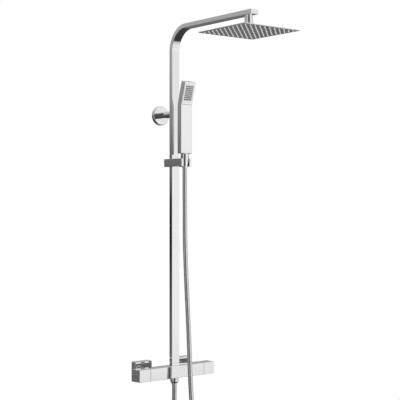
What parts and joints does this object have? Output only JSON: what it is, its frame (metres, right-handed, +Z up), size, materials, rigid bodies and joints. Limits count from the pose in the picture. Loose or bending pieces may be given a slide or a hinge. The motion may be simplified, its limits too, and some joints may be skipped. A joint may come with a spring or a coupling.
{
  "type": "rainfall shower column",
  "caption": "Square bar valve with a rectangular riser, overhead arm and slim square rain head, and a stick handset on a sliding holder with a flexible hose.",
  "frame": {"origin": "on the wall, midway between the two inlets, at the height of the bar valve's axis", "axes": "+X right along the wall, +Y into the wall, +Z up; the head and the handset face -Y"},
  "size_m": [0.28, 0.5364, 1.4591],
  "materials": {
    "chrome": "polished chrome plating on brass",
    "head_steel": "polished stainless steel",
    "hose_metal": "wound chrome-plated strip",
    "stainless": "plain stainless steel",
    "brass": "turned brass",
    "cartridge_plastic": "moulded plastic",
    "dark_plastic": "satin black plastic",
    "seal_rubber": "black rubber",
    "nozzle_silicone": "grey silicone"
  },
  "bodies": {
    "root": {"arm_end_plug": "chrome", "arm_outlet": "brass", "bracket_base": "stainless", "bracket_collar": "chrome", "bracket_cover": "chrome", "bracket_stay": "chrome", "check_valves": "dark_plastic", "diverter_cartridge": "cartridge_plastic", "diverter_gland_nut": "brass", "diverter_stop_ring": "dark_plastic", "ferrule_lower": "chrome", "hose": "hose_metal", "hose_nut": "chrome", "hose_outlet": "brass", "hose_washer_lower": "seal_rubber", "inlet_filters": "seal_rubber", "inlet_nut_left": "chrome", "inlet_nut_right": "chrome", "inlet_union_left": "brass", "inlet_union_right": "brass", "riser_foot": "brass", "riser_foot_seal": "seal_rubber", "riser_lower": "chrome", "riser_sleeve": "stainless", "riser_upper": "chrome", "swivel_nut": "chrome", "swivel_washer": "seal_rubber", "temperature_cartridge": "cartridge_plastic", "temperature_gland_nut": "brass", "temperature_stop_ring": "dark_plastic", "valve_body": "chrome", "wall_shroud_left": "chrome", "wall_shroud_right": "chrome"},
    "diverter_knob": {"diverter_handle": "chrome", "diverter_spindle": "brass", "diverter_screw": "stainless", "diverter_cap": "chrome"},
    "temperature_knob": {"temperature_handle": "chrome", "temperature_spindle": "brass", "temperature_screw": "stainless", "temperature_cap": "chrome"},
    "slider": {"slider_body": "chrome", "slider_bush": "dark_plastic", "slider_liner": "dark_plastic", "slider_screw": "stainless"},
    "hose_cone": {"cone_nut": "chrome", "hose_washer_upper": "seal_rubber", "ferrule_upper": "chrome"},
    "handset": {"handset_body": "chrome", "handset_face": "chrome", "handset_nozzle_pad": "nozzle_silicone", "handset_spigot": "brass"},
    "ball_cup": {"ball_seat": "dark_plastic"},
    "rain_head": {"swivel_ball": "brass", "head_boss": "chrome", "head_top_plate": "head_steel", "head_gasket": "seal_rubber", "nozzle_mat": "nozzle_silicone", "nozzle_plate": "head_steel"}
  },
  "joints": [
    {"name": "diverter_turn", "type": "hinge", "parent": "root", "child": "diverter_knob", "pos_m": [-0.12, -0.076, 0], "axis": [1, 0, 0], "range_deg": [-90, 90]},
    {"name": "temperature_turn", "type": "hinge", "parent": "root", "child": "temperature_knob", "pos_m": [0.12, -0.076, 0], "axis": [1, 0, 0], "range_deg": [-150, 45]},
    {"name": "slider_slide", "type": "slide", "parent": "root", "child": "slider", "axis": [0, 0, 1], "range_m": [-0.4, 0.12], "deforming": ["hose"]},
    {"name": "handset_lift", "type": "slide", "parent": "slider", "child": "hose_cone", "axis": [0, 0, 1], "range_m": [0, 0.022]},
    {"name": "handset_turn", "type": "hinge", "parent": "hose_cone", "child": "handset", "pos_m": [0, -0.128, 0.64], "axis": [0, 0, 1], "range_deg": [-90, 90]},
    {"name": "head_tilt_forward", "type": "hinge", "parent": "root", "child": "ball_cup", "pos_m": [0, -0.4214, 1.011], "axis": [1, 0, 0], "range_deg": [-12, 12]},
    {"name": "head_tilt_sideways", "type": "hinge", "parent": "ball_cup", "child": "rain_head", "pos_m": [0, -0.4214, 1.011], "axis": [0, 1, 0], "range_deg": [-12, 12]}
  ]
}
